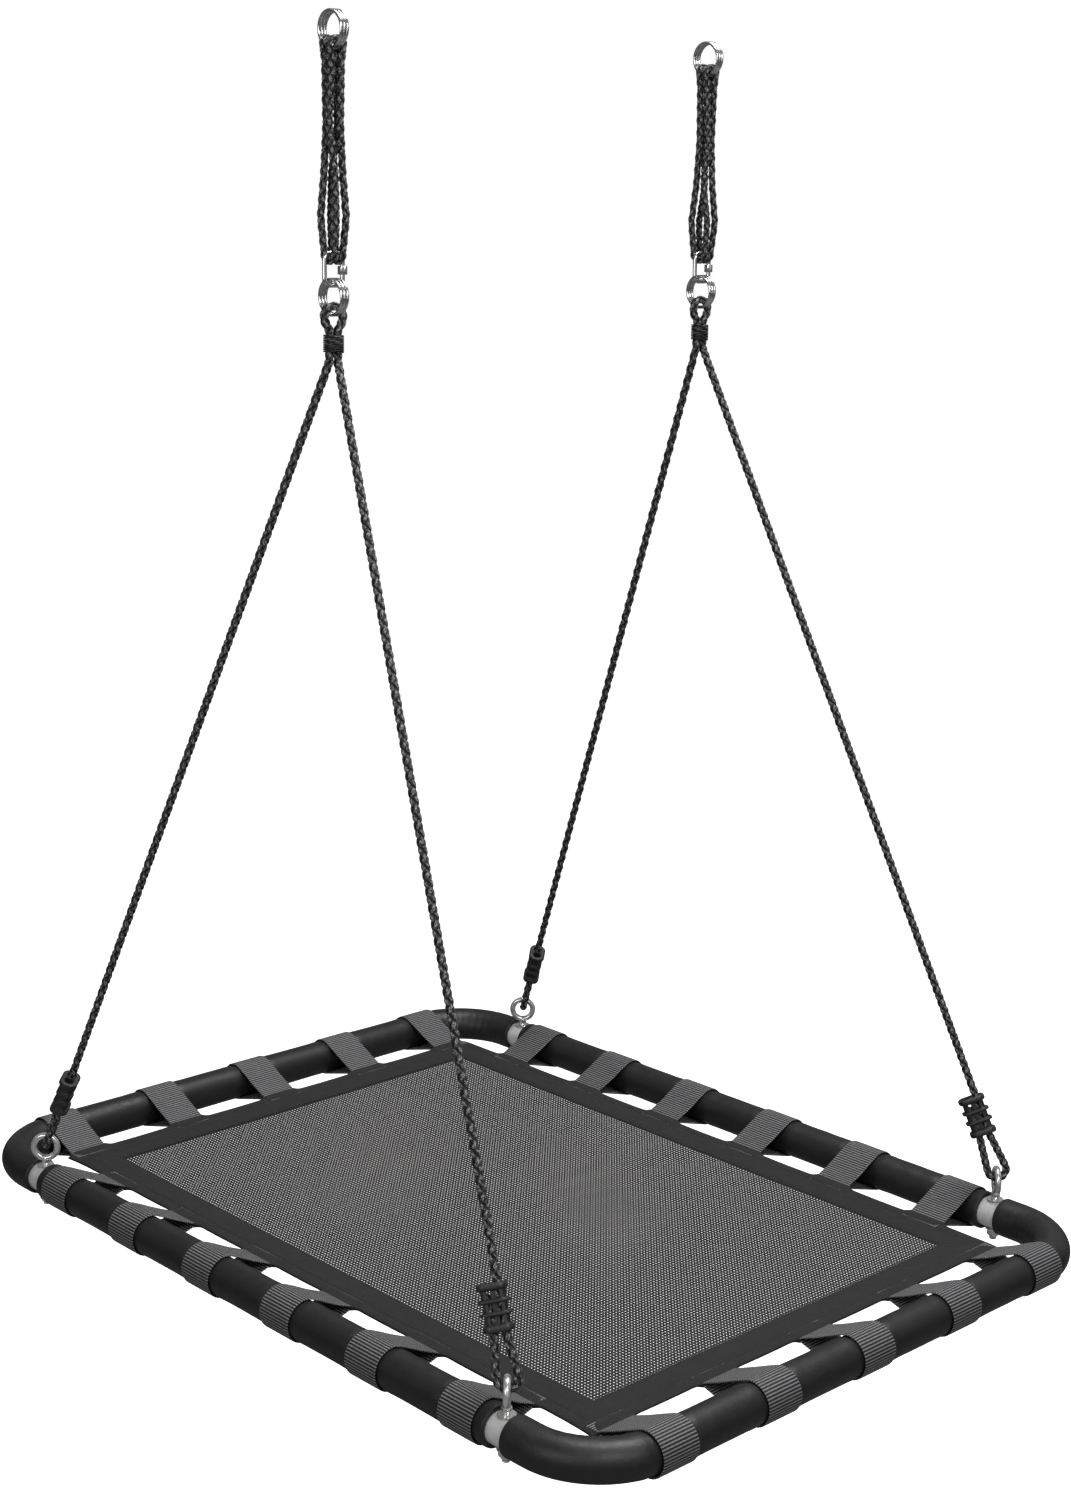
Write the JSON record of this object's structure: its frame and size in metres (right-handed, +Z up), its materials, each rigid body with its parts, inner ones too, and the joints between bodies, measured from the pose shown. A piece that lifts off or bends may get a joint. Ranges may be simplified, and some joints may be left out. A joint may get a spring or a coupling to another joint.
{
  "type": "platform swing",
  "caption": "Rectangular platform swing: a mesh mat strapped inside a foam-padded tube frame, hung on adjustable braided ropes from doubled rope hangers with rings.",
  "frame": {"origin": "middle of the mesh mat's upper face, where the rider sits", "axes": "+Z up, the way the swing hangs; +X along the long side of the platform; +Y across it, from the front rope set to the back one"},
  "size_m": [1.0202, 0.7662, 1.2632],
  "materials": {
    "foam": "matt closed-cell foam sleeve",
    "steel_tube": "galvanised",
    "bolt_steel": "bright zinc plated",
    "plated_ring": "bright plated",
    "mesh_cloth": "open coated mesh",
    "border_cloth": "dense woven border, sewn",
    "webbing": "ribbed webbing",
    "braided_rope": "braided, slight gloss",
    "whipping_cord": "tight dark binding",
    "adjuster_plastic": "moulded, satin"
  },
  "bodies": {
    "top_rings": {"top_ring_front": "plated_ring", "top_ring_back": "plated_ring"},
    "hangers": {"hanger_rope_front": "braided_rope", "hanger_rope_back": "braided_rope"},
    "links": {"link_front": "plated_ring", "link_back": "plated_ring"},
    "sleeve_front": {"link_sleeve_front": "plated_ring"},
    "sleeve_back": {"link_sleeve_back": "plated_ring"},
    "ropes_front": {"lower_ring_front": "plated_ring", "swing_rope_front": "braided_rope", "whipping_front": "whipping_cord"},
    "ropes_back": {"lower_ring_back": "plated_ring", "swing_rope_back": "braided_rope", "whipping_back": "whipping_cord"},
    "platform": {"side_tube_front": "steel_tube", "side_tube_back": "steel_tube", "end_tube_left": "steel_tube", "end_tube_right": "steel_tube", "foam_front": "foam", "foam_back": "foam", "foam_left": "foam", "foam_right": "foam", "eye_bolts": "bolt_steel", "bolt_washers": "bolt_steel", "lock_nuts": "bolt_steel", "mat_mesh": "mesh_cloth", "mat_border": "border_cloth", "straps_front": "webbing", "straps_back": "webbing", "straps_left": "webbing", "straps_right": "webbing"},
    "adjuster_front_left": {"adjuster_front_left": "adjuster_plastic"},
    "adjuster_front_right": {"adjuster_front_right": "adjuster_plastic"},
    "adjuster_back_left": {"adjuster_back_left": "adjuster_plastic"},
    "adjuster_back_right": {"adjuster_back_right": "adjuster_plastic"}
  },
  "joints": [
    {"name": "swing", "type": "hinge", "parent": "top_rings", "child": "hangers", "pos_m": [0, 0, 1.22], "axis": [0, 1, 0], "range_deg": [-40, 40]},
    {"name": "link_fold", "type": "hinge", "parent": "hangers", "child": "links", "pos_m": [0, 0, 1.01845], "axis": [0, 1, 0], "range_deg": [-20, 20]},
    {"name": "side_sway", "type": "hinge", "parent": "links", "child": "ropes_front", "pos_m": [0, -0.253, 0.9942], "axis": [1, 0, 0], "range_deg": [-6, 6]},
    {"name": "side_sway_back", "type": "hinge", "parent": "links", "child": "ropes_back", "pos_m": [0, 0.253, 0.9942], "axis": [1, 0, 0], "range_deg": [-6.12, 6.12]},
    {"name": "platform_tilt", "type": "hinge", "parent": "ropes_front", "child": "platform", "pos_m": [0, -0.35716, 0.05411], "axis": [1, 0, 0], "range_deg": [-4.32, 4.32]},
    {"name": "sleeve_front_slide", "type": "slide", "parent": "links", "child": "sleeve_front", "axis": [0, 0, 1], "range_m": [0, 0.0065]},
    {"name": "sleeve_back_slide", "type": "slide", "parent": "links", "child": "sleeve_back", "axis": [0, 0, 1], "range_m": [0, 0.0065]},
    {"name": "adjuster_front_left_slide", "type": "slide", "parent": "ropes_front", "child": "adjuster_front_left", "axis": [0.3982, 0.1005, 0.9118], "range_m": [0, 0.08]},
    {"name": "adjuster_front_right_slide", "type": "slide", "parent": "ropes_front", "child": "adjuster_front_right", "axis": [-0.3977, 0.1105, 0.9108], "range_m": [0, 0.08]},
    {"name": "adjuster_back_left_slide", "type": "slide", "parent": "ropes_back", "child": "adjuster_back_left", "axis": [0.3988, -0.1245, 0.9086], "range_m": [0, 0.08]},
    {"name": "adjuster_back_right_slide", "type": "slide", "parent": "ropes_back", "child": "adjuster_back_right", "axis": [-0.3992, -0.1147, 0.9097], "range_m": [0, 0.08]}
  ],
  "couplings": [
    {"joint": "platform_tilt", "follows": "side_sway", "ratio": -0.7031},
    {"joint": "side_sway_back", "follows": "side_sway", "ratio": 1.0004}
  ]
}
